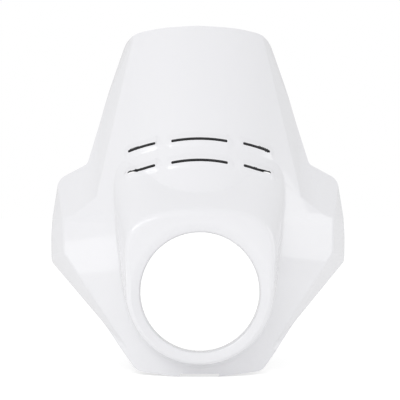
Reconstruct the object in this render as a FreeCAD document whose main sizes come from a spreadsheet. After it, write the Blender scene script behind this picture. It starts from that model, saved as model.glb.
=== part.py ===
"""Motorcycle headlight mask: one moulded shell round a 5.75 inch headlamp.

Frame: X to the viewer's right, Y to the rear, Z up, in millimetres.
Origin: the centre of the lamp opening, half way along the seat of the lamp.
Depths on the sheet are measured from the front plane of the nose.
"""
import FreeCAD, Part
import Sketcher
import math
import os

Vector = FreeCAD.Vector
Line = Part.LineSegment

doc = FreeCAD.newDocument("HeadlightMask")

# Driving sizes, in millimetres and degrees
SIZES = (
    ("wall", 3.0, "thickness of the moulding"),
    # Lamp opening and the dished ring round it
    ("opening_radius", 75.0, "lamp opening"),
    ("sleeve_depth", 20.0, "rear end of the lamp sleeve behind the nose plane"),
    ("seat_middle", 13.4, "middle of the lamp's seat behind the nose plane"),
    ("lip_round", 4.0, "rounded front edge of the opening"),
    ("crest_radius", 86.3, "outer edge of the dished ring"),
    ("dish_depth", 3.9, "fall of the ring from its crest to the opening"),
    # Nose: section of the pad, round below and squarish above
    ("pad_radius", 92.5, "lower arc of the pad"),
    ("pad_centre", 1.5, "height of that arc's centre"),
    ("pad_half_width", 93.5, "pad, centre to side"),
    ("pad_rise", 102.0, "pad, centre to top"),
    ("corner_round", 48.0, "upper corners of the pad"),
    ("corner_drop", 53.0, "top of the pad to the centre of those corners"),
    ("corner_growth", 0.15, "growth of those corners for each millimetre of depth"),
    ("nose_overlap", 10.0, "how deep the rear end of the nose is buried in the main form"),
    ("low_draft", 5.0, "angle of the nose below, from the Y axis"),
    ("side_draft", 15.0, "angle of the nose beside its upper corners"),
    ("roof_draft", 45.0, "angle of the roof over the lamp"),
    ("edge_round", 5.0, "rounded edge of the pad"),
    ("valley_round", 8.0, "hollow between the nose and the main form"),
    # Main form: a leaning cylinder with swept wings, drawn square to the screen
    ("front_radius", 150.0, "radius of the screen"),
    ("wing_sweep", 36.8, "sweep of the wings, from the X axis"),
    ("rim_sweep", 62.4, "sweep of the wing's outer rim"),
    ("rim_x", 180.0, "crease of that rim, from the centre"),
    ("rim_round", 14.0, "rounding of that crease"),
    ("bend_height", 92.0, "height at which the upright part starts to lean"),
    ("bend_setback", 6.0, "setback of the main form at that height"),
    ("bend_round", 30.0, "rounding of that bend"),
    ("screen_lean", 27.0, "lean of the screen from the vertical"),
    ("chin_tuck", 6.5, "lean of the lower part the other way"),
    # Facets: where each starts and how much it falls back from the wing's plane
    ("band_low_x", 135.0, "crease of the rolled screen edge, lower point"),
    ("band_low_z", 118.0, "height of that point"),
    ("band_high_x", 90.0, "crease of the rolled screen edge, upper point"),
    ("band_high_z", 330.0, "height of that point"),
    ("band_fall", 1.2, "fall of the screen edge for each millimetre outward"),
    ("shoulder_slope", 0.71, "fall of the shoulder's crease for each millimetre outward"),
    ("shoulder_fall", 0.25, "fall of the shoulder for each millimetre upward"),
    ("cheek_crease_low_x", 104.0, "crease of the lower bevel, lower point"),
    ("cheek_crease_low_z", -60.0, "height of that point"),
    ("cheek_crease_high_x", 163.0, "crease of the lower bevel, upper point"),
    ("cheek_crease_high_z", 22.0, "height of that point"),
    ("cheek_fall", 1.3, "fall of the lower bevel for each millimetre outward"),
    ("taper_z", -78.0, "lower end of that bevel"),
    ("taper_fall", 0.5, "most that the bevel may fall for each millimetre above its end"),
    ("facet_round", 9.0, "rounding of the creases between facets"),
    # Corners of the outline, right half, from the top centre down
    ("crown_z", 350.0, "top centre"),
    ("brow_x", 55.0, "brow"), ("brow_z", 347.5, ""), ("brow_round", 260.0, ""),
    ("temple_x", 96.0, "top corner"), ("temple_z", 340.0, ""), ("temple_round", 30.0, ""),
    ("flank_x", 123.0, "middle of the screen side"), ("flank_z", 262.0, ""), ("flank_round", 500.0, ""),
    ("waist_x", 149.5, "inner corner where screen and wing meet"), ("waist_z", 164.0, ""),
    ("waist_round", 10.0, ""),
    ("shoulder_x", 190.0, "top corner of the wing"), ("shoulder_z", 144.0, ""),
    ("shoulder_round", 18.0, ""),
    ("wing_x", 200.0, "widest part of the wing"), ("wing_z", 72.0, ""), ("wing_round", 200.0, ""),
    ("tip_x", 200.0, "lower corner of the wing"), ("tip_z", 31.0, ""), ("tip_round", 10.0, ""),
    ("cheek_x", 126.0, "slight corner in the lower edge"), ("cheek_z", -46.0, ""),
    ("cheek_round", 120.0, ""),
    ("jaw_x", 81.0, "bottom corner"), ("jaw_z", -104.5, ""), ("jaw_round", 16.0, ""),
    ("chin_x", 24.0, "bottom edge"), ("chin_z", -109.0, ""), ("chin_round", 60.0, ""),
    # Air slots, three in a row, in the leaning plane of the screen
    ("slot_high", 114.7, "upper row, distance up the screen from the bend"),
    ("slot_low", 83.4, "lower row"),
    ("slot_high_radius", 450.0, "arc of the upper row"),
    ("slot_low_radius", 340.0, "arc of the lower row"),
    ("slot_height", 2.6, "opening of a slot"),
    ("slot_middle_half", 34.7, "middle slot, centre to end"),
    ("slot_side_inner", 57.7, "side slot, inner end"),
    ("slot_side_outer", 90.8, "side slot, outer end"),
    ("slot_reach", 120.0, "length of the cut through the curved screen"),
    # Notch in the bottom edge
    ("notch_half_width", 24.8, "notch, centre to side"),
    ("notch_height", 3.4, "notch height"),
    # Fixing tabs that run back from the lower side edges
    ("tab_width", 38.0, "tab along the edge"),
    ("tab_start", 21.0, "distance from the bottom corner to the tab"),
    ("tab_length", 24.0, "tab behind the edge"),
    ("tab_round", 9.0, "rear corners of the tab"),
    ("tab_inset", 0.4, "step from the edge to the tab"),
    ("tab_root", 1.4, "depth at which the tab starts inside the wall"),
    ("tab_hole_radius", 3.3, "hole for an M6 bolt"),
    ("tab_hole_back", 12.0, "hole behind the edge"),
)

sheet = doc.addObject("Spreadsheet::Sheet", "Sizes")
for row, (alias, value, note) in enumerate(SIZES, start=1):
    sheet.set(f"A{row}", note)
    sheet.set(f"B{row}", str(value))
    sheet.setAlias(f"B{row}", alias)
doc.recompute()


def size(alias):
    """A driving size, read from the sheet."""
    return float(sheet.get(alias))


def role_of(body, role):
    """An origin plane or axis of a body."""
    return next(item for item in body.Origin.OriginFeatures if item.Role == role)


def sketch_on(body, name, plane):
    """A sketch of the body on one of its own origin planes."""
    sketch = body.newObject("Sketcher::SketchObject", name)
    sketch.AttachmentSupport = [(role_of(body, plane), "")]
    sketch.MapMode = "FlatFace"
    return sketch


def bind(sketch, constraint, expression):
    """Adds a dimension that follows an expression on the sheet."""
    index = sketch.addConstraint(constraint)
    sketch.setExpression(f"Constraints[{index}]", expression)
    return index


# Outline

START, END, CENTRE = range(1, 4)
ORIGIN = (-1, 1)
H_AXIS, V_AXIS = range(-1, -3, -1)

CORNERS = ("brow", "temple", "flank", "waist", "shoulder", "wing", "tip", "cheek", "jaw", "chin")


def outline_polygon():
    """The right half of the outline as a sketch of straight sides between its corners."""
    sketch = doc.addObject("Sketcher::SketchObject", "Outline")
    sketch.Placement = FreeCAD.Placement(Vector(), FreeCAD.Rotation(Vector(1, 0, 0), 90))
    corners = [(0.0, size("crown_z"))]
    corners += [(size(f"{name}_x"), size(f"{name}_z")) for name in CORNERS]
    corners += [(0.0, size("chin_z"))]
    for first, second in zip(corners, corners[1:]):
        sketch.addGeometry(Line(Vector(*first, 0), Vector(*second, 0)), False)
    for index in range(len(corners) - 2):
        sketch.addConstraint(Sketcher.Constraint("Coincident", index, END, index + 1, START))
    sketch.addConstraint(Sketcher.Constraint("PointOnObject", 0, START, V_AXIS))
    crown = Sketcher.Constraint("DistanceY", *ORIGIN, 0, START, size("crown_z"))
    bind(sketch, crown, "Sizes.crown_z")
    for index, name in enumerate(CORNERS):
        across = Sketcher.Constraint("DistanceX", *ORIGIN, index, END, size(f"{name}_x"))
        bind(sketch, across, f"Sizes.{name}_x")
        up = Sketcher.Constraint("DistanceY", *ORIGIN, index, END, size(f"{name}_z"))
        bind(sketch, up, f"Sizes.{name}_z")
    last = len(corners) - 2
    sketch.addConstraint(Sketcher.Constraint("PointOnObject", last, END, V_AXIS))
    sketch.addConstraint(Sketcher.Constraint("Horizontal", last))
    doc.recompute()
    return sketch


def unit(start, end):
    """Unit vector from one point of the front view to another."""
    length = math.dist(start, end)
    return tuple((b - a) / length for a, b in zip(start, end))


def round_points(before, corner, after, radius):
    """Start, middle and end of the arc that rounds a corner of the front view."""
    to_before = unit(corner, before)
    to_after = unit(corner, after)
    half = math.acos(to_before[0] * to_after[0] + to_before[1] * to_after[1]) / 2
    inward = unit((0.0, 0.0), (to_before[0] + to_after[0], to_before[1] + to_after[1]))
    tangent = radius / math.tan(half)
    near = radius / math.sin(half) - radius
    start = tuple(c + d * tangent for c, d in zip(corner, to_before))
    middle = tuple(c + d * near for c, d in zip(corner, inward))
    end = tuple(c + d * tangent for c, d in zip(corner, to_after))
    return start, middle, end


def outline_prism(sketch):
    """Everything behind the rounded outline, as one prism along Y."""
    corners = [(0.0, size("crown_z"))]
    for edge in sketch.Shape.Edges:
        far = max(edge.Vertexes, key=lambda v: math.dist((v.X, v.Z), corners[-1]))
        corners.append((far.X, far.Z))
    edges = []
    for side in (1, -1):
        def at(point):
            return Vector(side * point[0], PRISM_FRONT, point[1])

        reached = corners[0]
        for index, name in enumerate(CORNERS, start=1):
            start, middle, end = round_points(*corners[index - 1:index + 2], size(f"{name}_round"))
            edges += [Line(at(reached), at(start)), Part.Arc(at(start), at(middle), at(end))]
            reached = end
        edges.append(Line(at(reached), at(corners[-1])))
    ordered = Part.__sortEdges__([edge.toShape() for edge in edges])
    return Part.Face(Part.Wire(ordered)).extrude(Vector(0, BACK - PRISM_FRONT, 0))


# Main form and nose, each made for the outer surface and for the inner one

BACK = 420.0
REACH_UP = 400.0
REACH_DOWN = 150.0
BLOCK_FRONT = -300.0
PRISM_FRONT = -20.0
BLOCK_SIDES = (60.0, 260.0)
BLOCK_UPPER = (40.0, 420.0)
BLOCK_LOWER = (-160.0, 70.0)
RIM_LENGTH = 60.0
TOUCH = 0.01
REACH_STEP = 5.0
SECTION_COUNTS = (6, 2, 4, 2)
EDGE_STEPS = 3


def slope(alias):
    """Tangent of an angle on the sheet."""
    return math.tan(math.radians(size(alias)))


def plan_wire(inset):
    """Closed section square to the screen: an arc, two swept wings and their rims."""
    radius = size("front_radius")
    sweep = math.radians(size("wing_sweep"))
    rim = math.radians(size("rim_sweep"))
    arc = radius - inset
    wing_start = Vector(arc * math.sin(sweep), radius - arc * math.cos(sweep), 0)
    crease_y = radius * (1 - math.cos(sweep))
    crease_y += (size("rim_x") - radius * math.sin(sweep)) * math.tan(sweep)
    wing_way = Vector(math.cos(sweep), math.sin(sweep), 0)
    rim_way = Vector(math.cos(rim), math.sin(rim), 0)
    inward = (Vector(-wing_way.y, wing_way.x, 0) + Vector(-rim_way.y, rim_way.x, 0)).normalize()
    half_turn = (rim - sweep) / 2
    crease = Vector(size("rim_x"), crease_y, 0) + inward * (inset / math.cos(half_turn))
    turn = size("rim_round") - inset
    wing_end = crease - wing_way * (turn * math.tan(half_turn))
    rim_start = crease + rim_way * (turn * math.tan(half_turn))
    rim_middle = crease + inward * (turn / math.cos(half_turn) - turn)
    rim_end = crease + rim_way * RIM_LENGTH

    def left(point):
        return Vector(-point.x, point.y, 0)

    back = Vector(rim_end.x, BACK, 0)
    pieces = [
        Line(left(rim_end), left(rim_start)),
        Part.Arc(left(rim_start), left(rim_middle), left(wing_end)),
        Line(left(wing_end), left(wing_start)),
        Part.Arc(left(wing_start), Vector(0, inset, 0), wing_start),
        Line(wing_start, wing_end),
        Part.Arc(wing_end, rim_middle, rim_start),
        Line(rim_start, rim_end),
        Line(rim_end, back),
        Line(back, left(back)),
        Line(left(back), left(rim_end)),
    ]
    return Part.Wire([piece.toShape() for piece in pieces])


def leaning_solid(inset):
    """The section carried along the screen and down along the tuck, rounded at the bend."""
    height = size("bend_height")
    lean = size("screen_lean")
    face = Part.Face(plan_wire(inset))
    face.rotate(Vector(), Vector(-1, 0, 0), lean)
    face.translate(Vector(0, size("bend_setback"), height))
    along = Vector(0, slope("screen_lean"), 1) * REACH_UP
    face.translate(-along)
    above = Part.makeBox(4 * BACK, 4 * BACK, REACH_UP - height, Vector(-2 * BACK, -2 * BACK, height))
    upper = face.extrude(2 * along).common(above)
    base = next(side for side in upper.Faces if side.BoundBox.ZMax < height + TOUCH)
    down = REACH_DOWN + height
    lower = base.extrude(Vector(0, down * slope("chin_tuck"), -down))
    solid = upper.fuse(lower)
    bend = [
        edge for edge in solid.Edges
        if abs(edge.BoundBox.ZMin - height) < TOUCH and abs(edge.BoundBox.ZMax - height) < TOUCH
        and edge.BoundBox.YMin < BACK / 2
    ]
    return solid.makeFillet(size("bend_round") - inset, bend)


class Plane:
    """A plane given as a depth over the front view: y = base + across * x + up * z."""

    def __init__(self, base, across, up):
        self.base = base
        self.across = across
        self.up = up

    def depth(self, x, z):
        """Depth of the plane at a place in the front view."""
        return self.base + self.across * x + self.up * z

    def falling(self, fall, x, z, way_x, way_z):
        """This plane turned back beyond a line through (x, z), square to (way_x, way_z)."""
        return Plane(self.base - fall * (way_x * x + way_z * z),
                     self.across + fall * way_x, self.up + fall * way_z)

    def inside(self, inset):
        """The parallel plane at a distance behind this one."""
        return Plane(self.base + inset * math.sqrt(1 + self.across ** 2 + self.up ** 2),
                     self.across, self.up)

    def block(self, sides, heights):
        """The solid in front of the plane, on the right side."""
        def face_at(z):
            front = [Vector(x, BLOCK_FRONT, z) for x in sides]
            rear = [Vector(x, self.depth(x, z), z) for x in reversed(sides)]
            return front + rear

        low, high = face_at(heights[0]), face_at(heights[1])
        loops = [low, high]
        loops += [[low[i], low[(i + 1) % 4], high[(i + 1) % 4], high[i]] for i in range(4)]
        faces = [Part.Face(Part.makePolygon(loop + loop[:1])) for loop in loops]
        solid = Part.Solid(Part.Shell(faces))
        if solid.Volume < 0:
            solid.reverse()
        return solid


def wing_plane(lean):
    """Plane of the right wing, above the bend or below it by the sign of its lean."""
    radius = size("front_radius")
    sweep = math.radians(size("wing_sweep"))
    stretch = 1 / math.cos(math.radians(size("screen_lean")))
    base = radius * (1 - math.cos(sweep)) - radius * math.sin(sweep) * math.tan(sweep)
    base = base * stretch + size("bend_setback") - size("bend_height") * lean
    return Plane(base, math.tan(sweep) * stretch, lean)


def facet_planes():
    """Facets of the right side: rolled screen edge, shoulder, lower bevel and its taper."""
    upper = wing_plane(slope("screen_lean"))
    lower = wing_plane(-slope("chin_tuck"))
    low_x, low_z = size("band_low_x"), size("band_low_z")
    narrowing = (low_x - size("band_high_x")) / (size("band_high_z") - low_z)
    band = upper.falling(size("band_fall"), low_x, low_z, 1.0, narrowing)
    shoulder = upper.falling(size("shoulder_fall"), low_x, low_z, size("shoulder_slope"), 1.0)
    start = (size("cheek_crease_low_x"), size("cheek_crease_low_z"))
    end = (size("cheek_crease_high_x"), size("cheek_crease_high_z"))
    length = math.dist(start, end)
    way = ((end[1] - start[1]) / length, (start[0] - end[0]) / length)
    cheek = lower.falling(size("cheek_fall"), *start, *way)
    taper = lower.falling(size("taper_fall"), 0.0, size("taper_z"), 0.0, 1.0)
    return band, shoulder, cheek, taper


def mirrored(shape):
    """The shape's image on the other side of the centre plane."""
    return shape.mirror(Vector(), Vector(1, 0, 0))


def facet_cuts(inset):
    """What the facets take off the main form, right and left."""
    band, shoulder, cheek, taper = (plane.inside(inset) for plane in facet_planes())
    upper = band.block(BLOCK_SIDES, BLOCK_UPPER).common(shoulder.block(BLOCK_SIDES, BLOCK_UPPER))
    lower = cheek.block(BLOCK_SIDES, BLOCK_LOWER).common(taper.block(BLOCK_SIDES, BLOCK_LOWER))
    return [upper, lower, mirrored(upper), mirrored(lower)]


def nose_section(depth, inset):
    """Right half of the nose's section at a depth, as arcs and a side, from the bottom up.

    Each entry is a centre, a radius and two angles, or the two ends of the side.
    """
    def drawn_in(draft):
        return depth * slope(draft) - inset / math.cos(math.radians(size(draft)))

    growth = size("corner_growth") * depth
    low_radius = size("pad_radius") + drawn_in("low_draft")
    low_centre = (0.0, size("pad_centre"))
    corner = size("corner_round") + growth - inset
    rise = size("pad_rise") + drawn_in("roof_draft")
    drop = size("corner_drop") + growth - inset
    centre = (size("pad_half_width") + drawn_in("side_draft") - corner, rise - drop)
    top_radius = (corner ** 2 - centre[0] ** 2 - drop ** 2) / (2 * (corner - drop))
    top_centre = (0.0, rise - top_radius)
    top_angle = math.atan2(centre[1] - top_centre[1], centre[0])
    bearing = math.atan2(centre[1] - low_centre[1], centre[0])
    side_angle = bearing - math.acos((low_radius - corner) / math.dist(low_centre, centre))
    return (
        (low_centre, low_radius, -math.pi / 2, side_angle),
        (low_centre, centre, low_radius, corner, side_angle),
        (centre, corner, side_angle, top_angle),
        (top_centre, top_radius, top_angle, math.pi / 2),
    )


def section_points(depth, inset):
    """Points round the section, the same number on each piece at every depth."""
    low, side, corner, top = nose_section(depth, inset)
    counts = SECTION_COUNTS

    def arc_points(arc, count):
        centre, radius, first, last = arc
        angles = [first + (last - first) * step / count for step in range(count)]
        return [(centre[0] + radius * math.cos(a), centre[1] + radius * math.sin(a)) for a in angles]

    low_centre, centre, low_radius, radius, angle = side
    way = (math.cos(angle), math.sin(angle))
    start = tuple(c + w * low_radius for c, w in zip(low_centre, way))
    end = tuple(c + w * radius for c, w in zip(centre, way))
    side_points = [tuple(a + (b - a) * step / counts[1] for a, b in zip(start, end))
                   for step in range(counts[1])]
    right = arc_points(low, counts[0]) + side_points + arc_points(corner, counts[2])
    right += arc_points(top, counts[3])
    left = [(-x, z) for x, z in reversed(right[1:])]
    peak = (0.0, top[0][1] + top[1])
    return [Vector(x, depth, z) for x, z in right + [peak] + left]


def section_wire(depth, inset):
    """The section at a depth as true arcs and straight sides."""
    low, _, corner, top = nose_section(depth, inset)

    def point_on(arc, angle, side=1):
        centre, radius = arc[:2]
        across = centre[0] + radius * math.cos(angle)
        return Vector(side * across, depth, centre[1] + radius * math.sin(angle))

    edges = []
    for side in (1, -1):
        low_end = point_on(low, low[3], side)
        corner_start, corner_end = (point_on(corner, angle, side) for angle in corner[2:])
        corner_middle = point_on(corner, sum(corner[2:]) / 2, side)
        edges += [Line(low_end, corner_start), Part.Arc(corner_start, corner_middle, corner_end)]
    for arc, end, middle in ((low, low[3], low[2]), (top, top[2], top[3])):
        edges.append(Part.Arc(point_on(arc, end), point_on(arc, middle), point_on(arc, end, -1)))
    return Part.Wire(Part.__sortEdges__([edge.toShape() for edge in edges]))


def nose_reach(main, inset):
    """Depth at which the whole section of the nose lies inside the main form."""
    depth = inset + size("nose_overlap")
    buried = False
    while not buried:
        depth += REACH_STEP
        back = Vector(0, size("nose_overlap"), 0)
        buried = all(main.isInside(point - back, TOUCH, True) for point in section_points(depth, inset))
    return depth


def rounded_nose(reach):
    """The nose for the outer surface, its pad edge a quarter round."""
    turn = size("edge_round")
    steps = [math.pi / 2 * step / EDGE_STEPS for step in range(EDGE_STEPS + 1)]
    sections = [(turn * (1 - math.cos(a)), turn * (1 - math.sin(a))) for a in steps]
    sections.append((reach, 0.0))
    wires = []
    for depth, inset in sections:
        curve = Part.BSplineCurve()
        curve.interpolate(Points=section_points(depth, inset), PeriodicFlag=True)
        wires.append(Part.Wire([curve.toShape()]))
    return Part.makeLoft(wires, True, True)


def middle_of(edge):
    """The point half way along an edge."""
    return edge.valueAt((edge.FirstParameter + edge.LastParameter) / 2)


def crease_edges(solid):
    """Edges where a facet meets the main form or another facet, up to the open ends."""
    found = []
    planes = facet_planes()
    for edge in solid.Edges:
        box = edge.BoundBox
        if box.YMin < 0 or box.YMax > BACK / 2 or box.ZMin > REACH_UP - 1:
            continue
        ends = [vertex.Point for vertex in edge.Vertexes]
        for plane in planes:
            if all(abs(plane.depth(abs(p.x), p.z) - p.y) < TOUCH for p in ends):
                found.append(edge)
                break
    return found


def dish_cone(inset):
    """The shallow cone that sinks the ring round the lamp opening."""
    fall = size("dish_depth") / (size("crest_radius") - size("opening_radius"))
    shift = inset * math.sqrt(1 + fall ** 2)
    narrow = size("opening_radius") / 2
    rear = (size("crest_radius") - narrow) * fall + shift
    front = -size("dish_depth")
    wide = size("crest_radius") + (shift - front) / fall
    return Part.makeCone(wide, narrow, rear - front, Vector(0, front, 0), Vector(0, 1, 0))


def inner_form(inset):
    """The form behind the inner surface, its corners left plain as on the mould's core."""
    main = leaning_solid(inset).cut(facet_cuts(inset))
    wires = [section_wire(depth, inset) for depth in (inset, nose_reach(main, inset))]
    nose = Part.makeLoft(wires, True, True)
    return main.fuse(nose.cut(dish_cone(inset)))


def outer_form():
    """The form behind the outer surface, with its creases, pad edge and valley rounded."""
    main = leaning_solid(0.0).cut(facet_cuts(0.0))
    main = main.makeFillet(size("facet_round"), crease_edges(main))
    nose = rounded_nose(nose_reach(main, 0.0)).cut(dish_cone(0.0))
    known = Part.Compound(main.Edges + nose.Edges)
    union = main.fuse(nose)
    valley = [
        edge for edge in union.Edges
        if edge.BoundBox.YMax < BACK / 2
        and known.distToShape(Part.Vertex(middle_of(edge)))[0] > TOUCH
    ]
    return union.makeFillet(size("valley_round"), valley)


def runs_along_y(face):
    """Whether a face is one of the walls of the outline prism, or its rear end."""
    surface = face.Surface
    if surface.TypeId == "Part::GeomPlane":
        return abs(surface.Axis.y) < TOUCH or face.BoundBox.YMin > BACK - 1
    return surface.TypeId == "Part::GeomCylinder" and abs(surface.Axis.y) > 1 - TOUCH


def skin_solid(prism):
    """The wall between the outer and the inner surface, cut off along the outline."""
    surfaces, walls = [], []
    for form in (outer_form(), inner_form(size("wall"))):
        form = form.common(prism)
        surfaces += [face for face in form.Faces if not runs_along_y(face)]
        walls.append(Part.Compound([face for face in form.Faces if runs_along_y(face)]))
    rim = walls[0].cut(walls[1])
    shell = Part.Shell(Part.Compound(surfaces + rim.Faces).Faces)
    shell.sewShape()
    solid = Part.Solid(shell)
    if solid.Volume < 0:
        solid.reverse()
    return solid


skin = doc.addObject("Part::Feature", "Skin")
skin.Shape = skin_solid(outline_prism(outline_polygon()))

body = doc.addObject("PartDesign::Body", "mask_shell")
body.Label = "mask_shell"
body.BaseFeature = skin
body.setExpression("Placement.Base.y", "-Sizes.seat_middle")
doc.recompute()


# Lamp sleeve and opening


def add_sleeve():
    """The sleeve that carries the lamp rim, turned about the lamp axis."""
    sketch = sketch_on(body, "SleeveProfile", "YZ_Plane")
    radius = size("opening_radius")
    wall = size("wall")
    front = size("dish_depth") + 0.4 * wall
    rear = size("sleeve_depth")
    low, high = radius - wall, radius + wall
    corners = [Vector(front, low, 0), Vector(rear, low, 0), Vector(rear, high, 0), Vector(front, high, 0)]
    for first, second in zip(corners, corners[1:] + corners[:1]):
        sketch.addGeometry(Line(first, second), False)
    for index in range(4):
        sketch.addConstraint(Sketcher.Constraint("Coincident", index, END, (index + 1) % 4, START))
    for index, kind in enumerate(("Horizontal", "Vertical", "Horizontal", "Vertical")):
        sketch.addConstraint(Sketcher.Constraint(kind, index))
    join = Sketcher.Constraint
    bind(sketch, join("DistanceX", *ORIGIN, 0, START, front), "Sizes.dish_depth + 0.4 * Sizes.wall")
    bind(sketch, join("DistanceX", *ORIGIN, 0, END, rear), "Sizes.sleeve_depth")
    bind(sketch, join("DistanceY", *ORIGIN, 0, START, low), "Sizes.opening_radius - Sizes.wall")
    bind(sketch, join("DistanceY", *ORIGIN, 2, START, high), "Sizes.opening_radius + Sizes.wall")
    sleeve = body.newObject("PartDesign::Revolution", "Sleeve")
    sleeve.Profile = sketch
    sleeve.ReferenceAxis = (sketch, ["H_Axis"])
    sleeve.Angle = 360.0
    doc.recompute()


def add_opening():
    """The round lamp opening with its rounded lip, turned out of nose and sleeve."""
    sketch = sketch_on(body, "OpeningProfile", "YZ_Plane")
    radius, turn = size("opening_radius"), size("lip_round")
    fall = size("dish_depth") / (size("crest_radius") - radius)
    tilt = math.atan(fall)
    middle_y = (size("crest_radius") - radius - turn) * fall + turn / math.cos(tilt)
    middle = Vector(middle_y, radius + turn, 0)
    lip_front = middle - Vector(math.cos(tilt), math.sin(tilt), 0) * turn
    lip_rear = middle - Vector(0, turn, 0)
    reach = 2 * size("sleeve_depth")
    corners = [
        Vector(reach, radius, 0), Vector(reach, 0, 0), Vector(-reach, 0, 0),
        Vector(-reach, lip_front.y, 0), lip_front,
    ]
    circle = Part.Circle(middle, Vector(0, 0, 1), turn)
    sketch.addGeometry(Part.ArcOfCircle(circle, math.pi + tilt, 1.5 * math.pi), False)
    sketch.addGeometry(Line(lip_rear, corners[0]), False)
    for first, second in zip(corners, corners[1:]):
        sketch.addGeometry(Line(first, second), False)
    join = Sketcher.Constraint
    sketch.addConstraint([
        join("Tangent", 0, END, 1, START),
        join("Coincident", 1, END, 2, START),
        join("Coincident", 2, END, 3, START),
        join("Coincident", 3, END, 4, START),
        join("Coincident", 4, END, 5, START),
        join("Coincident", 5, END, 0, START),
        join("Horizontal", 1),
        join("Vertical", 2),
        join("PointOnObject", 2, END, H_AXIS),
        join("PointOnObject", 3, END, H_AXIS),
        join("Vertical", 4),
        join("Horizontal", 5),
    ])
    bind(sketch, join("DistanceY", *ORIGIN, 1, START, radius), "Sizes.opening_radius")
    bind(sketch, join("Radius", 0, turn), "Sizes.lip_round")
    bind(sketch, join("DistanceX", *ORIGIN, 1, END, reach), "2 * Sizes.sleeve_depth")
    bind(sketch, join("DistanceX", *ORIGIN, 3, END, -reach), "-2 * Sizes.sleeve_depth")
    sketch.addConstraint(join("DistanceX", *ORIGIN, 0, CENTRE, middle.x))
    sketch.addConstraint(join("DistanceX", *ORIGIN, 5, END, lip_front.x))
    opening = body.newObject("PartDesign::Groove", "Opening")
    opening.Profile = sketch
    opening.ReferenceAxis = (sketch, ["H_Axis"])
    opening.Angle = 360.0
    doc.recompute()


# Air slots


def add_slot(sketch, height, radius, start, end):
    """One slot that follows the arc of its row, with round ends.

    height, radius, start and end are names of sizes; a name may carry a minus sign.
    """
    def value_of(name):
        return -size(name[1:]) if name.startswith("-") else size(name)

    def rule_of(name):
        return f"-Sizes.{name[1:]}" if name.startswith("-") else f"Sizes.{name}"

    arc_radius = size(radius)
    half = size("slot_height") / 2
    centre = Vector(0, size(height) - arc_radius, 0)
    ends = sorted((value_of(start), value_of(end)))
    angles = [math.acos(x / arc_radius) for x in reversed(ends)]
    first = sketch.GeometryCount
    for offset in (half, -half):
        circle = Part.Circle(centre, Vector(0, 0, 1), arc_radius + offset)
        sketch.addGeometry(Part.ArcOfCircle(circle, angles[0], angles[1]), False)
    for angle, turn in ((angles[0], -math.pi), (angles[1], 0.0)):
        middle = centre + Vector(math.cos(angle), math.sin(angle), 0) * arc_radius
        circle = Part.Circle(middle, Vector(0, 0, 1), half)
        begin = angle + turn
        sketch.addGeometry(Part.ArcOfCircle(circle, begin, begin + math.pi), False)
    outer, inner, right, left = range(first, first + 4)
    join = Sketcher.Constraint
    sketch.addConstraint([
        join("Coincident", outer, CENTRE, inner, CENTRE),
        join("PointOnObject", outer, CENTRE, V_AXIS),
        join("Tangent", inner, START, right, START),
        join("Tangent", right, END, outer, START),
        join("Tangent", outer, END, left, START),
        join("Tangent", left, END, inner, END),
    ])
    bind(sketch, join("DistanceY", *ORIGIN, outer, CENTRE, centre.y),
         f"Sizes.{height} - Sizes.{radius}")
    bind(sketch, join("Radius", outer, arc_radius + half), f"Sizes.{radius} + Sizes.slot_height / 2")
    bind(sketch, join("Radius", inner, arc_radius - half), f"Sizes.{radius} - Sizes.slot_height / 2")
    low_name, high_name = sorted((start, end), key=value_of)
    bind(sketch, join("DistanceX", *ORIGIN, left, CENTRE, ends[0]), rule_of(low_name))
    bind(sketch, join("DistanceX", *ORIGIN, right, CENTRE, ends[1]), rule_of(high_name))


def add_slot_row(name, height, radius):
    """A row of three slots, cut square to the leaning screen."""
    sketch = sketch_on(body, f"{name}Sketch", "XZ_Plane")
    base = Vector(0, size("bend_height"), -size("bend_setback"))
    tilt = FreeCAD.Rotation(Vector(-1, 0, 0), size("screen_lean"))
    sketch.AttachmentOffset = FreeCAD.Placement(base, tilt)
    sketch.setExpression("AttachmentOffset.Base.y", "Sizes.bend_height")
    sketch.setExpression("AttachmentOffset.Base.z", "-Sizes.bend_setback")
    sketch.setExpression("AttachmentOffset.Rotation.Angle", "Sizes.screen_lean")
    add_slot(sketch, height, radius, "-slot_middle_half", "slot_middle_half")
    add_slot(sketch, height, radius, "slot_side_inner", "slot_side_outer")
    add_slot(sketch, height, radius, "-slot_side_outer", "-slot_side_inner")
    cut = body.newObject("PartDesign::Pocket", name)
    cut.Profile = sketch
    cut.SideType = "Symmetric"
    cut.Length = size("slot_reach")
    cut.setExpression("Length", "Sizes.slot_reach")
    doc.recompute()


# Notch in the bottom edge


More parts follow.
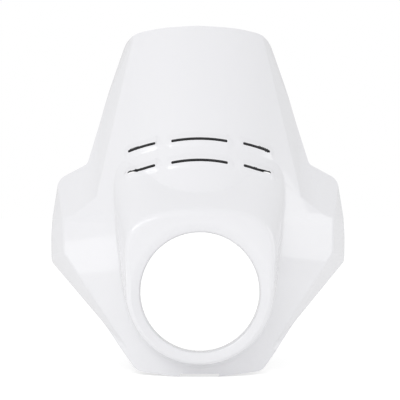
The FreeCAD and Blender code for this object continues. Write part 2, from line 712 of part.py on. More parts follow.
def add_notch():
    """The shallow notch in the bottom edge."""
    sketch = sketch_on(body, "NotchSketch", "XZ_Plane")
    half = size("notch_half_width")
    top = size("chin_z") + size("notch_height")
    low = size("chin_z") - size("notch_height")
    corners = [Vector(-half, low, 0), Vector(half, low, 0), Vector(half, top, 0), Vector(-half, top, 0)]
    for first, second in zip(corners, corners[1:] + corners[:1]):
        sketch.addGeometry(Line(first, second), False)
    for index in range(4):
        sketch.addConstraint(Sketcher.Constraint("Coincident", index, END, (index + 1) % 4, START))
    for index, kind in enumerate(("Horizontal", "Vertical", "Horizontal", "Vertical")):
        sketch.addConstraint(Sketcher.Constraint(kind, index))
    join = Sketcher.Constraint
    bind(sketch, join("DistanceX", *ORIGIN, 1, START, half), "Sizes.notch_half_width")
    bind(sketch, join("DistanceX", *ORIGIN, 0, START, -half), "-Sizes.notch_half_width")
    bind(sketch, join("DistanceY", *ORIGIN, 2, START, top), "Sizes.chin_z + Sizes.notch_height")
    bind(sketch, join("DistanceY", *ORIGIN, 0, START, low), "Sizes.chin_z - Sizes.notch_height")
    notch = body.newObject("PartDesign::Pocket", "Notch")
    notch.Profile = sketch
    notch.SideType = "Symmetric"
    notch.Length = 2 * size("front_radius")
    notch.setExpression("Length", "2 * Sizes.front_radius")
    doc.recompute()


# Fixing tabs


def add_tabs():
    """A bolted tab on each lower side edge, flush with the straight between jaw and cheek."""
    jaw = (size("jaw_x"), size("jaw_z"))
    cheek = (size("cheek_x"), size("cheek_z"))
    length = math.dist(jaw, cheek)
    sketch = sketch_on(body, "TabProfile", "YZ_Plane")
    lean = math.degrees(math.atan2(cheek[0] - jaw[0], cheek[1] - jaw[1]))
    base = Vector(0, jaw[1], jaw[0] - size("tab_inset"))
    sketch.AttachmentOffset = FreeCAD.Placement(base, FreeCAD.Rotation(Vector(1, 0, 0), lean))
    sketch.setExpression("AttachmentOffset.Base.y", "Sizes.jaw_z")
    sketch.setExpression("AttachmentOffset.Base.z", "Sizes.jaw_x - Sizes.tab_inset")
    lean_rule = "atan((Sizes.cheek_x - Sizes.jaw_x) / (Sizes.cheek_z - Sizes.jaw_z))"
    sketch.setExpression("AttachmentOffset.Rotation.Angle", lean_rule)

    upright = wing_plane(-slope("chin_tuck"))
    bevel, taper = facet_planes()[2:]

    def edge_depth(along):
        """Depth of the mask's edge at a distance from the jaw."""
        share = along / length
        place = [low + (high - low) * share for low, high in zip(jaw, cheek)]
        return max(upright.depth(*place), min(bevel.depth(*place), taper.depth(*place)))

    low = size("tab_start")
    high = low + size("tab_width")
    kink = (size("taper_z") - jaw[1]) / (cheek[1] - jaw[1]) * length
    low_front, kink_front, high_front = (
        edge_depth(along) + size("tab_root") for along in (low, kink, high)
    )
    rear = edge_depth((low + high) / 2) + size("tab_length")
    turn = size("tab_round")
    points = [
        Vector(low_front, low, 0), Vector(rear - turn, low, 0),
        Vector(rear, low + turn, 0), Vector(rear, high - turn, 0),
        Vector(rear - turn, high, 0), Vector(high_front, high, 0), Vector(kink_front, kink, 0),
    ]
    lower = Part.Circle(Vector(rear - turn, low + turn, 0), Vector(0, 0, 1), turn)
    upper = Part.Circle(Vector(rear - turn, high - turn, 0), Vector(0, 0, 1), turn)
    hole_at = Vector(rear - size("tab_length") + size("tab_hole_back"), (low + high) / 2, 0)
    sketch.addGeometry([
        Line(points[0], points[1]),
        Part.ArcOfCircle(lower, -math.pi / 2, 0.0),
        Line(points[2], points[3]),
        Part.ArcOfCircle(upper, 0.0, math.pi / 2),
        Line(points[4], points[5]),
        Line(points[5], points[6]),
        Line(points[6], points[0]),
        Part.Circle(hole_at, Vector(0, 0, 1), size("tab_hole_radius")),
    ], False)
    join = Sketcher.Constraint
    sketch.addConstraint([
        join("Tangent", 0, END, 1, START),
        join("Tangent", 1, END, 2, START),
        join("Tangent", 2, END, 3, START),
        join("Tangent", 3, END, 4, START),
        join("Coincident", 4, END, 5, START),
        join("Coincident", 5, END, 6, START),
        join("Coincident", 6, END, 0, START),
        join("Horizontal", 0),
        join("Vertical", 2),
        join("Horizontal", 4),
    ])
    bind(sketch, join("Radius", 1, turn), "Sizes.tab_round")
    bind(sketch, join("Radius", 3, turn), "Sizes.tab_round")
    bind(sketch, join("DistanceY", *ORIGIN, 0, START, low), "Sizes.tab_start")
    bind(sketch, join("DistanceY", *ORIGIN, 4, END, high), "Sizes.tab_start + Sizes.tab_width")
    bind(sketch, join("DistanceY", *ORIGIN, 7, CENTRE, hole_at.y), "Sizes.tab_start + Sizes.tab_width / 2")
    bind(sketch, join("Radius", 7, size("tab_hole_radius")), "Sizes.tab_hole_radius")
    sketch.addConstraint([
        join("DistanceX", *ORIGIN, 0, START, low_front),
        join("DistanceX", *ORIGIN, 4, END, high_front),
        join("DistanceX", *ORIGIN, 5, END, kink_front),
        join("DistanceY", *ORIGIN, 5, END, kink),
        join("DistanceX", *ORIGIN, 2, START, rear),
    ])
    bind(sketch, join("DistanceX", 7, CENTRE, 2, START, rear - hole_at.x),
         "Sizes.tab_length - Sizes.tab_hole_back")
    tab = body.newObject("PartDesign::Pad", "Tab")
    tab.Profile = sketch
    tab.Reversed = True
    tab.Length = size("wall")
    tab.setExpression("Length", "Sizes.wall")
    doc.recompute()
    other = body.newObject("PartDesign::Mirrored", "OtherTab")
    other.Originals = [tab]
    other.MirrorPlane = (role_of(body, "YZ_Plane"), [""])
    body.Tip = other
    doc.recompute()


add_sleeve()
add_opening()
add_slot_row("UpperSlots", "slot_high", "slot_high_radius")
add_slot_row("LowerSlots", "slot_low", "slot_low_radius")
add_notch()
add_tabs()
doc.recompute()

failed = [item.Label for item in doc.Objects if "Invalid" in item.State or "Error" in item.State]
if failed:
    raise RuntimeError(f"failed objects: {failed}")

os.makedirs("parts", exist_ok=True)
for node in (body,):
    if node.Shape.isNull() or not node.Shape.isValid():
        raise RuntimeError(f"{node.Label} has no valid shape")
    node.Shape.exportStep(f"parts/{node.Label}.step")
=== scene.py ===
"""Looks of a motorcycle headlight mask: a white gloss shell, black inside, on a pale floor."""

import logging
import math
from dataclasses import dataclass, field
from enum import Enum

import bpy
import numpy as np
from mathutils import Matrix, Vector


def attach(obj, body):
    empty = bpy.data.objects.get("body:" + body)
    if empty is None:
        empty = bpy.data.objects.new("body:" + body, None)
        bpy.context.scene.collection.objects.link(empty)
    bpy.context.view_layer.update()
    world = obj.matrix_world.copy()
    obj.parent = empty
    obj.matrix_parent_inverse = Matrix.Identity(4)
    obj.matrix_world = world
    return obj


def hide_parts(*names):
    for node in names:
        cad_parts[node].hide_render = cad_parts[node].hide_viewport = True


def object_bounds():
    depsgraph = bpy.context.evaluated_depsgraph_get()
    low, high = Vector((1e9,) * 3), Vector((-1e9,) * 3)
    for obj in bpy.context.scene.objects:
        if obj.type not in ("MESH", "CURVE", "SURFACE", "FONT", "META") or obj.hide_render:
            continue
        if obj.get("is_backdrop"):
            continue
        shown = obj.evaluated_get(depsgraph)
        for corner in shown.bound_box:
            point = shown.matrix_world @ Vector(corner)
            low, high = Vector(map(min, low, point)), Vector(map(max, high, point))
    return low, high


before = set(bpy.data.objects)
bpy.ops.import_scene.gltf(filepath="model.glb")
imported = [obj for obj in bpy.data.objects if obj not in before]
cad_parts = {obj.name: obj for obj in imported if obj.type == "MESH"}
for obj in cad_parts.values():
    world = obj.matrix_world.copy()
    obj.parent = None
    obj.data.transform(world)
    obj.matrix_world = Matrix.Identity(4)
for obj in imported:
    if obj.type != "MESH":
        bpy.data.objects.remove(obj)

LOG = logging.getLogger("headlight_mask")
SHELL_NODE = "mask_shell"
STAGE_START_OBJECTS = ("Cube", "Light", "Camera")
SAME_PLACE = 2e-6

Colour = tuple[float, float, float]


# Reading meshes


def vertex_places(mesh: bpy.types.Mesh) -> np.ndarray:
    """Where the vertices of a mesh lie, one row each."""
    places = np.empty(len(mesh.vertices) * 3)
    mesh.vertices.foreach_get("co", places)
    return places.reshape(-1, 3)


def corner_vertices(mesh: bpy.types.Mesh) -> np.ndarray:
    """The vertex number of each face corner of a mesh."""
    numbers = np.empty(len(mesh.loops), dtype=np.int32)
    mesh.loops.foreach_get("vertex_index", numbers)
    return numbers


def corner_normals(mesh: bpy.types.Mesh) -> np.ndarray:
    """The normal at each face corner of a mesh, one row each."""
    normals = np.empty(len(mesh.loops) * 3, dtype=np.float32)
    mesh.corner_normals.foreach_get("vector", normals)
    return normals.reshape(-1, 3)


def face_vectors(mesh: bpy.types.Mesh, name: str) -> np.ndarray:
    """The normals or centres of the faces of a mesh, one row each."""
    vectors = np.empty(len(mesh.polygons) * 3)
    mesh.polygons.foreach_get(name, vectors)
    return vectors.reshape(-1, 3)


def face_areas(mesh: bpy.types.Mesh) -> np.ndarray:
    """The area of each face of a mesh."""
    areas = np.empty(len(mesh.polygons))
    mesh.polygons.foreach_get("area", areas)
    return areas


def alike(rows: np.ndarray) -> tuple[np.ndarray, np.ndarray]:
    """Finds the rows that are the same once rounded to whole numbers.

    Args:
        rows: the rows, scaled so that a difference of 1 matters.

    Returns:
        The number of the first row of each kind, and the number of each row's kind.
    """
    whole = np.round(rows).astype(np.int64)
    _, first, kind_of = np.unique(whole, axis=0, return_index=True, return_inverse=True)
    return first, kind_of.ravel()


# Shader maths


@dataclass(frozen=True)
class Signal:
    """A socket that carries one number, so that shader maths reads as an expression."""

    graph: "ShaderGraph"
    socket: bpy.types.NodeSocket

    def _maths(self, operation: str, *values: "Signal | float") -> "Signal":
        """Adds a Math node for an operation on numbers."""
        inputs = dict(enumerate(values))
        return self.graph.add("ShaderNodeMath", {"operation": operation}, inputs).number()

    def __add__(self, other: "Signal | float") -> "Signal":
        """This signal plus another."""
        return self._maths("ADD", self, other)

    def __radd__(self, other: float) -> "Signal":
        """A number plus this signal."""
        return self._maths("ADD", other, self)

    def __sub__(self, other: "Signal | float") -> "Signal":
        """This signal minus another."""
        return self._maths("SUBTRACT", self, other)

    def __rsub__(self, other: float) -> "Signal":
        """A number minus this signal."""
        return self._maths("SUBTRACT", other, self)

    def __mul__(self, other: "Signal | float") -> "Signal":
        """This signal times another."""
        return self._maths("MULTIPLY", self, other)

    def __rmul__(self, other: float) -> "Signal":
        """A number times this signal."""
        return self._maths("MULTIPLY", other, self)


@dataclass(frozen=True)
class NodeHandle:
    """A node in a graph, with short ways to its outputs."""

    graph: "ShaderGraph"
    node: bpy.types.Node

    def number(self, output: int | str = 0) -> Signal:
        """An output as a signal for shader maths."""
        return Signal(self.graph, self.node.outputs[output])

    def out(self, output: int | str = 0) -> bpy.types.NodeSocket:
        """An output socket, for colours, vectors and shaders."""
        return self.node.outputs[output]


class ShaderGraph:
    """The node tree of a material or of the world."""

    MIX_SHARE, MIX_FIRST, MIX_SECOND, MIX_RESULT = 0, 6, 7, 2

    def __init__(self, owner: bpy.types.Material | bpy.types.World) -> None:
        """Empties the owner's tree.

        Args:
            owner: the material or world that the nodes belong to.
        """
        owner.use_nodes = True
        self.tree = owner.node_tree
        self.tree.nodes.clear()

    def add(
        self,
        kind: str,
        settings: dict[str, object] | None = None,
        inputs: dict[int | str, object] | None = None,
    ) -> NodeHandle:
        """Adds one node.

        Args:
            kind: Blender's type name of the node.
            settings: the node's own settings, set before its sockets.
            inputs: values or links of its sockets, by name or number.

        Returns:
            The new node.
        """
        node = self.tree.nodes.new(kind)
        for name, value in (settings or {}).items():
            setattr(node, name, value)
        for key, value in (inputs or {}).items():
            socket = node.inputs[key]
            if isinstance(value, Signal):
                self.tree.links.new(value.socket, socket)
            elif isinstance(value, bpy.types.NodeSocket):
                self.tree.links.new(value, socket)
            else:
                socket.default_value = value
        return NodeHandle(self, node)

    def noise(self, scale: float, detail: float) -> Signal:
        """Noise over the object's own coordinates.

        Args:
            scale: features in a metre.
            detail: octaves of finer noise.

        Returns:
            The noise, about 0.5.
        """
        place = self.add("ShaderNodeTexCoord").out("Object")
        inputs = {"Vector": place, "Scale": scale, "Detail": detail}
        return self.add("ShaderNodeTexNoise", {}, inputs).number("Fac")

    def blend_colours(self, share: Signal, first: Colour, second: Colour) -> bpy.types.NodeSocket:
        """A mix of two colours.

        Args:
            share: how much of the second colour, from 0 to 1.
            first: the colour where the share is 0.
            second: the colour where the share is 1.

        Returns:
            The mixed colour's socket.
        """
        inputs = {
            self.MIX_SHARE: share,
            self.MIX_FIRST: (*first, 1.0),
            self.MIX_SECOND: (*second, 1.0),
        }
        return self.add("ShaderNodeMix", {"data_type": "RGBA"}, inputs).out(self.MIX_RESULT)

    def bumps(self, height: Signal, distance: float) -> bpy.types.NodeSocket:
        """The normal of a fine relief.

        Args:
            height: the relief's height.
            distance: how many metres one unit of that height is.

        Returns:
            The bent normal's socket.
        """
        inputs = {"Height": height, "Strength": 1.0, "Distance": distance}
        return self.add("ShaderNodeBump", {}, inputs).out()

    def seen_directly(self) -> Signal:
        """1 for rays that come straight from the camera."""
        return self.add("ShaderNodeLightPath").number("Is Camera Ray")


# Air slots


@dataclass(frozen=True)
class SlotRow:
    """One row of three slots, on an arc in the leaning plane of the screen."""

    height: float
    radius: float
    middle_half: float = 0.0347
    side_inner: float = 0.0577
    side_outer: float = 0.0908

    def _off_arc(self, across: np.ndarray, up: np.ndarray, radius: float) -> np.ndarray:
        """Distance of places above the arc of a radius through the middle of the row."""
        from_centre = up - (self.height - radius)
        return (across ** 2 + from_centre ** 2) ** 0.5 - radius

    def off_row(self, across: np.ndarray, up: np.ndarray) -> np.ndarray:
        """Distance of places above the arc that the row was moulded on."""
        return self._off_arc(across, up, self.radius)

    def distance(self, across: np.ndarray, up: np.ndarray, flattening: float) -> np.ndarray:
        """Distance from places on the screen to the nearest slot's centre line.

        Args:
            across: distance from the centre plane.
            up: distance up the screen from its bend.
            flattening: how much less the side slots bend than the row's arc, in bends a metre.

        Returns:
            The distances.
        """
        side = np.abs(across)
        side_radius = 1.0 / (1.0 / self.radius - flattening)
        past_middle = np.maximum(side - self.middle_half, 0.0)
        past_side = np.maximum(np.maximum(self.side_inner - side, side - self.side_outer), 0.0)
        to_middle = np.hypot(self.off_row(across, up), past_middle)
        to_side = np.hypot(self._off_arc(across, up, side_radius), past_side)
        return np.minimum(to_middle, to_side)


@dataclass(frozen=True)
class Slots:
    """The two rows of air slots in the screen."""

    rows: tuple[SlotRow, SlotRow] = (SlotRow(0.1147, 0.45), SlotRow(0.0834, 0.34))
    lean: float = math.radians(27.0)
    bend_height: float = 0.092
    bend_depth: float = -0.0074
    edge_reach: float = 0.002
    opening_share: float = 0.5
    flat_from: float = 0.046
    flat_blend: float = 0.01
    flattening: float = 1.82
    slant: float = 0.0034
    front_radius: float = 0.15
    wall: float = 0.003
    rows_middle: float = 0.093
    rows_reach: float = 0.024
    rows_fade: float = 0.02
    screen_half: float = 0.094
    screen_fade: float = 0.02

    @property
    def climb_way(self) -> np.ndarray:
        """The way straight up the leaning screen."""
        return np.array([0.0, math.sin(self.lean), math.cos(self.lean)])

    @property
    def front_way(self) -> np.ndarray:
        """The way straight out of the middle of the screen."""
        return np.array([0.0, -math.cos(self.lean), math.sin(self.lean)])

    def up_the_screen(self, depth: np.ndarray, height: np.ndarray) -> np.ndarray:
        """Distance up the leaning screen from its bend."""
        rise = (height - self.bend_height) * math.cos(self.lean)
        return rise + (depth - self.bend_depth) * math.sin(self.lean)

    def below_skin(self, across: np.ndarray, depth: np.ndarray, height: np.ndarray) -> np.ndarray:
        """Depth of places below the curved outer face of the screen."""
        inward = (depth - self.bend_depth) * math.cos(self.lean)
        inward -= (height - self.bend_height) * math.sin(self.lean)
        sagged = np.sqrt(np.maximum(self.front_radius ** 2 - across ** 2, 0.0))
        return inward - (self.front_radius - sagged)

    def settled(self, across: np.ndarray, depth: np.ndarray, height: np.ndarray) -> np.ndarray:
        """How far each point moves up the screen so that the slots lie as they should.

        Args:
            across: distance of each point from the centre plane.
            depth: its place along the lamp axis.
            height: its height.

        Returns:
            The moves up the screen.
        """
        side = np.abs(across)
        up = self.up_the_screen(depth, height)
        off_first, off_second = (row.off_row(across, up) for row in self.rows)
        nearest = np.where(np.abs(off_first) < np.abs(off_second), off_first, off_second)
        below = self.below_skin(across, depth, height)
        slant = np.clip(below / self.wall, 0.0, 1.0) * self.slant
        opened = nearest * self.opening_share - slant
        opened = np.where(np.abs(nearest) < self.edge_reach, opened, 0.0)
        flatter = across ** 2 / 2.0 * self.flattening
        beside = np.clip((side - self.flat_from) / self.flat_blend, 0.0, 1.0)
        past_rows = np.abs(up - self.rows_middle) - self.rows_reach
        near_rows = np.clip(1.0 - past_rows / self.rows_fade, 0.0, 1.0)
        on_screen = np.clip(1.0 - (side - self.screen_half) / self.screen_fade, 0.0, 1.0)
        return (flatter * beside + opened) * near_rows * on_screen

    def off_slots(self, across: np.ndarray, up: np.ndarray) -> np.ndarray:
        """Distance from places on the screen to the nearest slot's centre line."""
        return np.minimum(*(row.distance(across, up, self.flattening) for row in self.rows))

    def distance(self, across: np.ndarray, depth: np.ndarray, height: np.ndarray) -> np.ndarray:
        """Distance from places in space to the nearest slot's centre line, along the screen."""
        return self.off_slots(across, self.up_the_screen(depth, height))


# Ways to split a triangle with corners 0 to 2 and edge middles 3 to 5, by its marked edges
TRIANGLE_SPLITS = {
    0: ((0, 1, 2),),
    1: ((0, 3, 2), (3, 1, 2)),
    2: ((3, 1, 4), (0, 3, 4), (0, 4, 2)),
    3: ((0, 3, 5), (3, 1, 4), (5, 4, 2), (3, 4, 5)),
}


@dataclass(frozen=True)
class SlotLips:
    """The soft raised lips round the air slots, formed in the outer face of the shell."""

    height: float = 0.0013
    crest: float = 0.0025
    reach: float = 0.0115
    side_fade: float = 0.006
    skin_depth: float = 0.001
    longest_edge: float = 0.003
    rounds: int = 9
    normal_grain: float = 1e-3
    slope_step: float = 1e-4
    facing: float = 0.7
    slots: Slots = field(default_factory=Slots)

    def _raised(self, across: np.ndarray, up: np.ndarray) -> np.ndarray:
        """Height of the lips at places on the screen."""
        distance = self.slots.off_slots(across, up)
        near = np.clip((self.reach - distance) / (self.reach - self.crest), 0.0, 1.0)
        beside = (self.slots.screen_half + self.side_fade - np.abs(across)) / self.side_fade
        beside = np.clip(beside, 0.0, 1.0)
        return self.height * near ** 2 * (3.0 - 2.0 * near) * beside ** 2 * (3.0 - 2.0 * beside)

    def _on_skin(self, places: np.ndarray) -> np.ndarray:
        """Whether places lie on the outer face."""
        return self.slots.below_skin(*np.moveaxis(places, -1, 0)) < self.skin_depth

    def _marked(self, corners: np.ndarray) -> np.ndarray:
        """Which edges of triangles are too long for the lips that they pass.

        Args:
            corners: place and normal of each corner of each triangle.

        Returns:
            For each triangle, whether the edge from each corner to the next is marked.
        """
        places = corners[:, :, :3]
        others = np.roll(places, -1, axis=1)
        lengths = np.linalg.norm(others - places, axis=2)
        across, depth, height = np.moveaxis((places + others) / 2.0, -1, 0)
        near = self.slots.distance(across, depth, height) < self.reach + lengths / 2.0
        return (lengths > self.longest_edge) & near & self._on_skin(places) & self._on_skin(others)

    def _refined(self, corners: np.ndarray) -> np.ndarray:
        """Splits the triangles round the slots until they are fine enough for the lips.

        Args:
            corners: place and normal of each corner of each triangle.

        Returns:
            The same for the finer triangles, without gaps between neighbours.
        """
        for _ in range(self.rounds):
            marked = self._marked(corners)
            count = marked.sum(axis=1)
            if not count.any():
                break
            turn = np.zeros(len(corners), dtype=int)
            turn[count == 1] = np.argmax(marked[count == 1], axis=1)
            turn[count == 2] = (np.argmin(marked[count == 2], axis=1) + 1) % 3
            order = (turn[:, None] + np.arange(3)) % 3
            corners = np.take_along_axis(corners, order[:, :, None], axis=1)
            middles = (corners + np.roll(corners, -1, axis=1)) / 2.0
            points = np.concatenate([corners, middles], axis=1)
            corners = np.concatenate([
                points[count == number][:, part]
                for number, split in TRIANGLE_SPLITS.items() for part in split
            ])
        return corners

    def _lifted(self, places: np.ndarray, normals: np.ndarray) -> tuple[np.ndarray, np.ndarray]:
        """Raises points of the outer face by the lips, and tilts their normals to match.

        Args:
            places: where the points lie.
            normals: the surface's normal at each.

        Returns:
            The new places and normals.
        """
        across, depth, height = places.T
        up = self.slots.up_the_screen(depth, height)
        turned = np.clip(across / self.slots.front_radius, -1.0, 1.0)[:, None]
        square = np.sqrt(1.0 - turned ** 2)
        sideways, ahead = np.array([1.0, 0.0, 0.0]), self.slots.front_way
        outward, along = sideways * turned + ahead * square, sideways * square - ahead * turned
        on_skin = self._on_skin(places)
        step = self.slope_step
        rise_along = self._raised(across + step, up) - self._raised(across - step, up)
        rise_up = self._raised(across, up + step) - self._raised(across, up - step)
        tilt = rise_along[:, None] * square * along + rise_up[:, None] * self.slots.climb_way
        facing_out = (normals * outward).sum(axis=1) > self.facing
        tilted = normals - tilt / (2.0 * step) * (facing_out & on_skin)[:, None]
        tilted /= np.linalg.norm(tilted, axis=1, keepdims=True)
        return places + outward * (self._raised(across, up) * on_skin)[:, None], tilted

    def form(self, source: bpy.types.Mesh) -> bpy.types.Mesh:
        """Makes the shell's mesh with the lips raised in it.

        Args:
            source: the shell's mesh without lips, with its own normals.

        Returns:
            A new mesh.
        """
        places = vertex_places(source)
        first, point_of = alike(places / SAME_PLACE)
        places = places[first][point_of][corner_vertices(source)]
        corners = np.hstack([places, corner_normals(source)]).reshape(-1, 3, 6)
        points = self._refined(corners).reshape(-1, 6)
        places, normals = self._lifted(points[:, :3], points[:, 3:])
        first, point_of = alike(np.hstack([places / SAME_PLACE, normals / self.normal_grain]))
        faces = point_of.reshape(-1, 3)
        whole = (faces != np.roll(faces, 1, axis=1)).all(axis=1)
        mesh = bpy.data.meshes.new("shell")
        mesh.from_pydata(places[first].tolist(), [], faces[whole].tolist())
        mesh.shade_smooth()
        mesh.normals_split_custom_set(normals.reshape(-1, 3, 3)[whole].reshape(-1, 3).tolist())
        return mesh


# Finishes


@dataclass(frozen=True)
class GlossPaint:
    """White two-pack paint over the plastic, flowed out under a clear coat."""

    name: str = "gloss_white_paint"
    colour: Colour = (0.80, 0.80, 0.825)
    second_colour: Colour = (0.79, 0.79, 0.81)
    cloud_scale: float = 9.0
    roughness: float = 0.28
    cloud_roughness: float = 0.06
    coat_roughness: float = 0.035
    coat_ior: float = 1.5
    ripple_scale: float = 140.0
    ripple_height: float = 0.00001

    def material(self) -> bpy.types.Material:
        """The paint as a material.

        Returns:
            A material with a clear coat, faint flow ripples and a slightly uneven white.
        """
        material = bpy.data.materials.new(self.name)
        graph = ShaderGraph(material)
        cloud = graph.noise(self.cloud_scale, 1.0)
        ripples = graph.noise(self.ripple_scale, 1.0) * self.ripple_height
        skin = graph.add("ShaderNodeBsdfPrincipled", {}, {
            "Base Color": graph.blend_colours(cloud, self.colour, self.second_colour),
            "Roughness": self.roughness + cloud * self.cloud_roughness,
            "Normal": graph.bumps(ripples, 1.0),
            "Coat Weight": 1.0,
            "Coat Roughness": self.coat_roughness,
            "Coat IOR": self.coat_ior,
        })
        graph.add("ShaderNodeOutputMaterial", {}, {"Surface": skin.out()})
        return material


@dataclass(frozen=True)
class BarePlastic:
    """Black moulded plastic with a fine grain, as on the unpainted inside."""

    name: str = "bare_black_plastic"
    colour: Colour = (0.018, 0.018, 0.02)
    rubbed_colour: Colour = (0.026, 0.026, 0.028)
    rubbed_scale: float = 30.0
    roughness: float = 0.42
    grain_roughness: float = 0.12
    grain_scale: float = 900.0
    grain_height: float = 0.00004

    def material(self) -> bpy.types.Material:
        """The plastic as a material.

        Returns:
            A finely grained material, a little lighter where it is rubbed.
        """
        material = bpy.data.materials.new(self.name)
        graph = ShaderGraph(material)
        grain = graph.noise(self.grain_scale, 3.0)
        rubbed = graph.noise(self.rubbed_scale, 2.0)
        skin = graph.add("ShaderNodeBsdfPrincipled", {}, {
            "Base Color": graph.blend_colours(rubbed, self.colour, self.rubbed_colour),
            "Roughness": self.roughness + grain * self.grain_roughness,
            "Normal": graph.bumps(grain, self.grain_height),
        })
        graph.add("ShaderNodeOutputMaterial", {}, {"Surface": skin.out()})
        return material


class ShellSide(Enum):
    """The two finishes of the shell, by their material slot."""

    PAINTED = 0
    BARE = 1


# The shell


@dataclass
class MaskShell:
    """The moulded shell, painted on its outer side."""

    facing_forward: float = 0.02
    slot_half_height: float = 0.0024
    square_to_screen: float = 0.9
    middle_height: float = 0.06
    sleeve_inside: float = 0.0765
    sleeve_outside: float = 0.0785
    crease_angle: float = math.radians(38.0)
    paint: GlossPaint = field(default_factory=GlossPaint)
    plastic: BarePlastic = field(default_factory=BarePlastic)
    slots: Slots = field(default_factory=Slots)
    lips: SlotLips = field(default_factory=SlotLips)

    def build(self) -> bpy.types.Object:
        """Makes the dressed shell and hides the plain one.

        Returns:
            The shell as one object.
        """
        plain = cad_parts[SHELL_NODE].data.copy()
        self._settle_slots(plain)
        self._even_normals(plain)
        mesh = self.lips.form(plain)
        bpy.data.meshes.remove(plain)
        shell = bpy.data.objects.new("shell", mesh)
        bpy.context.scene.collection.objects.link(shell)
        self._dress(mesh)
        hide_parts(SHELL_NODE)
        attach(shell, "root")
        LOG.info("shell: %d faces", len(mesh.polygons))
        return shell

    def _settle_slots(self, mesh: bpy.types.Mesh) -> None:
        """Opens the slots a little and lays the side ones flatter, along the screen alone."""
        places = vertex_places(mesh)
        places += self.slots.settled(*places.T)[:, None] * self.slots.climb_way
        mesh.vertices.foreach_set("co", places.ravel())
        mesh.update()

    def _even_normals(self, mesh: bpy.types.Mesh) -> None:
        """Gives the corners that meet smoothly at a point one common normal."""
        normals = corner_normals(mesh)
        _, point_of = alike(vertex_places(mesh) / SAME_PLACE)
        point_of = point_of[corner_vertices(mesh)]
        weights = np.repeat(face_areas(mesh), [face.loop_total for face in mesh.polygons])
        order = np.argsort(point_of, kind="stable")
        cuts = np.flatnonzero(np.diff(point_of[order])) + 1
        evened = normals.copy()
        limit = math.cos(self.crease_angle)
        for corners in np.split(order, cuts):
            together = normals[corners] @ normals[corners].T > limit
            evened[corners] = (together * weights[corners]) @ normals[corners]
        evened /= np.linalg.norm(evened, axis=1, keepdims=True)
        mesh.normals_split_custom_set(evened)

    def _is_bare(self, mesh: bpy.types.Mesh) -> np.ndarray:
        """Which faces are bare plastic.

        Args:
            mesh: the shell's mesh.

        Returns:
            True for the faces that look to the rear, into a slot or into the hollow, and for
            the sleeve behind the lamp opening.
        """
        normals = face_vectors(mesh, "normal")
        across, depth, height = face_vectors(mesh, "center").T
        square_on = np.abs(normals @ self.slots.front_way)
        near_slot = self.slots.distance(across, depth, height) < self.slot_half_height
        off_axis = np.hypot(across, height)
        inward = normals[:, 0] * across + normals[:, 2] * (height - self.middle_height) < 0.0
        edge_on = np.abs(normals[:, 1]) <= self.facing_forward
        behind_lip = off_axis > self.sleeve_inside
        in_slot = near_slot & (square_on < self.square_to_screen)
        inner_wall = edge_on & inward & behind_lip
        sleeve = edge_on & behind_lip & (off_axis < self.sleeve_outside)
        return (normals[:, 1] > self.facing_forward) | in_slot | inner_wall | sleeve

    def _dress(self, mesh: bpy.types.Mesh) -> None:
        """Gives each face its finish."""
        mesh.materials.append(self.paint.material())
        mesh.materials.append(self.plastic.material())
        sides = np.where(self._is_bare(mesh), ShellSide.BARE.value, ShellSide.PAINTED.value)
        mesh.polygons.foreach_set("material_index", sides.astype(np.int32))
        mesh.update()


# Stage


@dataclass(frozen=True)
class Panel:
    """A soft light panel."""

    name: str
    place: Vector
    aim: Vector
    width: float
    height: float
    power: float
    reflected: bool = True

    def build(self) -> None:
        """Hangs the panel in the scene."""
        light = bpy.data.lights.new(self.name, "AREA")
        light.shape = "RECTANGLE"
        light.size = self.width
        light.size_y = self.height
        light.energy = self.power
        lamp = bpy.data.objects.new(self.name, light)
        lamp.location = self.place
        lamp.visible_glossy = self.reflected
        lamp.rotation_euler = (self.aim - self.place).to_track_quat("-Z", "Y").to_euler()
        bpy.context.scene.collection.objects.link(lamp)


def studio_panels() -> tuple[Panel, ...]:
    """The panels of the photograph's studio.

    Returns:
        A key and a low fill that only light, and a strip and two cards that the gloss shows.
    """
    return (
        Panel(
            "key", Vector((-1.0, -1.8, 1.45)), Vector((0.0, 0.05, 0.1)),
            width=2.1, height=2.1, power=11.5, reflected=False,
        ),
        Panel(
            "front_fill", Vector((0.0, -1.3, -0.02)), Vector((0.0, 0.0, -0.05)),
            width=1.2, height=0.16, power=1.2, reflected=False,
        ),
        Panel(
            "strip", Vector((-0.81, -0.96, 0.86)), Vector((0.0, 0.0, 0.05)),
            width=1.4, height=0.16, power=2.0,
        ),
        Panel(
            "low_card", Vector((-0.66, 0.0, -0.044)), Vector((-0.15, 0.06, 0.05)),
            width=0.23, height=0.058, power=0.038,
        ),
        Panel(
            "right_card", Vector((0.75, 0.0, 0.21)), Vector((0.15, 0.06, 0.08)),
            width=0.22, height=0.58, power=0.42,
        ),
    )


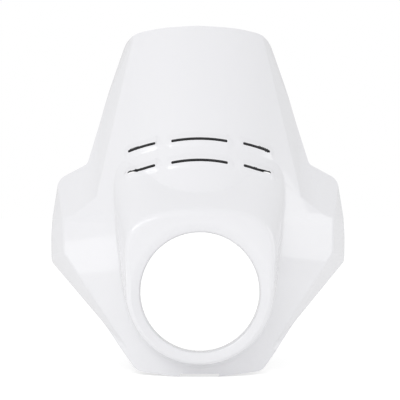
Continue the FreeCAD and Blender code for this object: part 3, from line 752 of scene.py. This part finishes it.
@dataclass
class Studio:
    """Floor, background, lights and camera of the photograph."""

    floor_level: float
    floor_size: float = 30.0
    floor_shade: float = 0.82
    floor_glow: float = 0.17
    floor_seen_glow: float = 0.45
    surround: float = 0.78
    camera_place: Vector = field(default_factory=lambda: Vector((-0.03, -1.8134, 0.1155)))
    camera_tilt: float = math.radians(90.0)
    camera_turn: float = math.radians(-0.95)
    camera_lens: float = 129.6
    panels: tuple[Panel, ...] = field(default_factory=studio_panels)

    def build(self) -> None:
        """Sets up everything that isn't the object."""
        self._background()
        self._floor()
        for panel in self.panels:
            panel.build()
        self._camera()
        bpy.context.scene.view_settings.view_transform = "Standard"

    def _background(self) -> None:
        """A white background that lights the object at a plain level."""
        world = bpy.data.worlds.new("studio")
        bpy.context.scene.world = world
        graph = ShaderGraph(world)
        seen = graph.seen_directly()
        strength = self.surround * (1.0 - seen) + seen
        inputs = {"Color": (1.0, 1.0, 1.0, 1.0), "Strength": strength}
        light = graph.add("ShaderNodeBackground", {}, inputs)
        graph.add("ShaderNodeOutputWorld", {}, {"Surface": light.out()})

    def _floor(self) -> None:
        """A pale floor that fades into the background and keeps the shadow."""
        half = self.floor_size / 2
        corners = [(-half, -half), (half, -half), (half, half), (-half, half)]
        mesh = bpy.data.meshes.new("floor")
        mesh.from_pydata([(x, y, self.floor_level) for x, y in corners], [], [(0, 1, 2, 3)])
        floor = bpy.data.objects.new("floor", mesh)
        bpy.context.scene.collection.objects.link(floor)
        mesh.materials.append(self._floor_material())
        floor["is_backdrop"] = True

    def _floor_material(self) -> bpy.types.Material:
        """The floor's matt white, lifted a little by a glow.

        Returns:
            A material that is paler where the camera sees it directly.
        """
        material = bpy.data.materials.new("pale_floor")
        graph = ShaderGraph(material)
        colour = (self.floor_shade, self.floor_shade, self.floor_shade, 1.0)
        matt = graph.add("ShaderNodeBsdfDiffuse", {}, {"Color": colour})
        glow, seen_glow = (
            graph.add("ShaderNodeEmission", {}, {"Strength": strength}).out()
            for strength in (self.floor_glow, self.floor_seen_glow)
        )
        inputs = {0: graph.seen_directly(), 1: glow, 2: seen_glow}
        light = graph.add("ShaderNodeMixShader", {}, inputs)
        skin = graph.add("ShaderNodeAddShader", {}, {0: matt.out(), 1: light.out()})
        graph.add("ShaderNodeOutputMaterial", {}, {"Surface": skin.out()})
        return material

    def _camera(self) -> None:
        """The camera at the photograph's place."""
        camera = bpy.data.objects.new("camera", bpy.data.cameras.new("camera"))
        camera.data.lens = self.camera_lens
        camera.location = self.camera_place
        camera.rotation_euler = (self.camera_tilt, 0.0, self.camera_turn)
        bpy.context.scene.collection.objects.link(camera)
        bpy.context.scene.camera = camera


def bounds_as_lists() -> list[list[float]]:
    """The object's box as plain numbers."""
    return [[round(value, 6) for value in corner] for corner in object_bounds()]


def main() -> None:
    """Builds the shell and the studio, with the floor just under the object's box as read before
    the shell is built.
    """
    logging.basicConfig(level=logging.INFO, format="%(name)s: %(message)s")
    for name in STAGE_START_OBJECTS:
        if name in bpy.data.objects:
            bpy.data.objects.remove(bpy.data.objects[name])
    cad_box = bounds_as_lists()
    floor_gap = 0.0005
    MaskShell().build()
    Studio(floor_level=cad_box[0][2] - floor_gap).build()
    LOG.info("studio: floor, background, %d panels and camera", len(studio_panels()))


if __name__ == "__main__":
    main()
